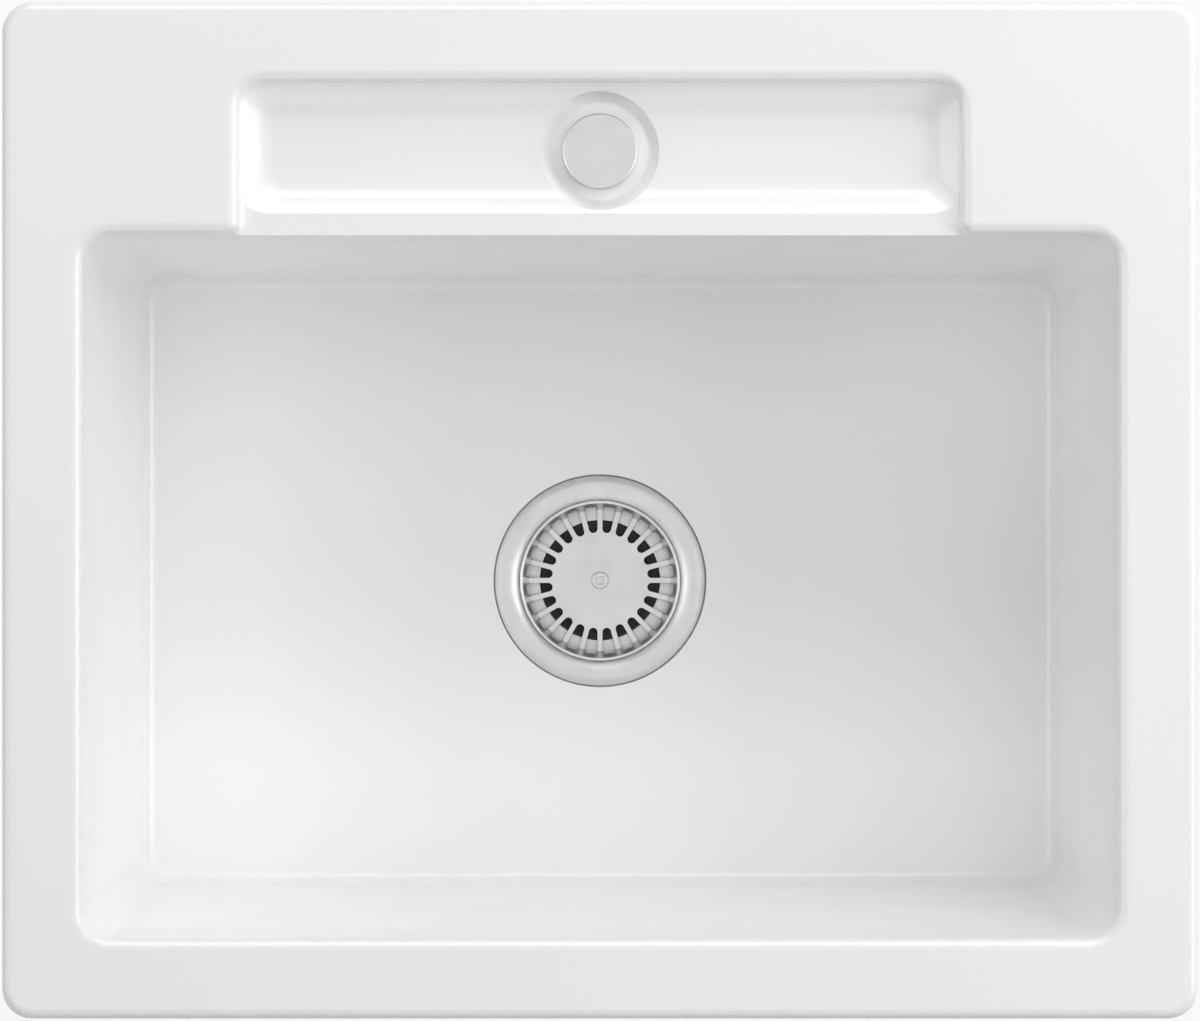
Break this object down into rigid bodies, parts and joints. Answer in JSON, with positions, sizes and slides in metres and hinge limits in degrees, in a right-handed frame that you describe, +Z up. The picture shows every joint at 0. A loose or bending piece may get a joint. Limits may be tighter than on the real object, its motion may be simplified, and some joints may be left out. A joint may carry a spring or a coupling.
{
  "type": "inset kitchen sink",
  "caption": "White glazed ceramic inset kitchen sink with a deep rectangular bowl, a recessed tap ledge, a basket strainer waste and a rotary knob that lifts the strainer.",
  "frame": {"origin": "middle of the worktop cut-out, level with the worktop's top face, on which the rim's underside rests", "axes": "+X to the right, +Y to the back where the tap ledge is, +Z up"},
  "size_m": [0.6, 0.51, 0.314],
  "materials": {
    "ceramic": "glossy white glaze",
    "stainless": "satin",
    "rubber": "matt",
    "white_plastic": "matt moulded",
    "black_plastic": "matt moulded",
    "brass": "turned"
  },
  "bodies": {
    "sink": {"sink_basin": "ceramic", "waste_flange": "stainless", "flange_gasket": "rubber", "body_gasket": "rubber", "waste_body": "white_plastic", "boss_insert": "brass", "clamp_bolt": "stainless", "shaft_gland": "brass", "shaft_o_ring": "rubber", "cable_bracket": "stainless", "lower_cable_inlet": "black_plastic", "knob_sleeve": "brass", "sleeve_gasket": "rubber", "ledge_washer": "rubber", "backing_washer": "stainless", "sleeve_nut": "brass", "drum_housing": "black_plastic", "drum_cover": "black_plastic", "cover_screws": "stainless", "upper_cable_inlet": "black_plastic"},
    "knob": {"control_knob": "stainless", "knob_grub_screw": "stainless", "knob_spindle": "stainless", "cable_drum": "white_plastic", "drum_clip": "stainless"},
    "crank": {"crank_shaft": "stainless", "outer_lever": "stainless", "lever_pin": "stainless", "lever_screw": "stainless"},
    "pin": {"lift_pin": "stainless"},
    "strainer": {"strainer_basket": "stainless", "basket_screw": "stainless", "spacer_sleeve": "black_plastic", "seal_washer": "stainless", "stopper_seal": "rubber", "stopper_plug": "black_plastic"}
  },
  "joints": [
    {"name": "knob_turn", "type": "hinge", "parent": "sink", "child": "knob", "pos_m": [0, 0.1812, 0], "axis": [0, 0, 1], "range_deg": [0, 90]},
    {"name": "crank_turn", "type": "hinge", "parent": "sink", "child": "crank", "pos_m": [-0.025, -0.038, -0.25305], "axis": [0, -1, 0], "range_deg": [0, 18.42]},
    {"name": "pin_lift", "type": "slide", "parent": "sink", "child": "pin", "axis": [0, 0, 1], "range_m": [0, 0.00801]},
    {"name": "strainer_lift", "type": "slide", "parent": "pin", "child": "strainer", "axis": [0, 0, 1], "range_m": [0, 0.24]}
  ],
  "couplings": [
    {"joint": "crank_turn", "follows": "knob_turn", "ratio": 0.2046},
    {"joint": "pin_lift", "follows": "knob_turn", "m_per_rad": 0.005093}
  ]
}
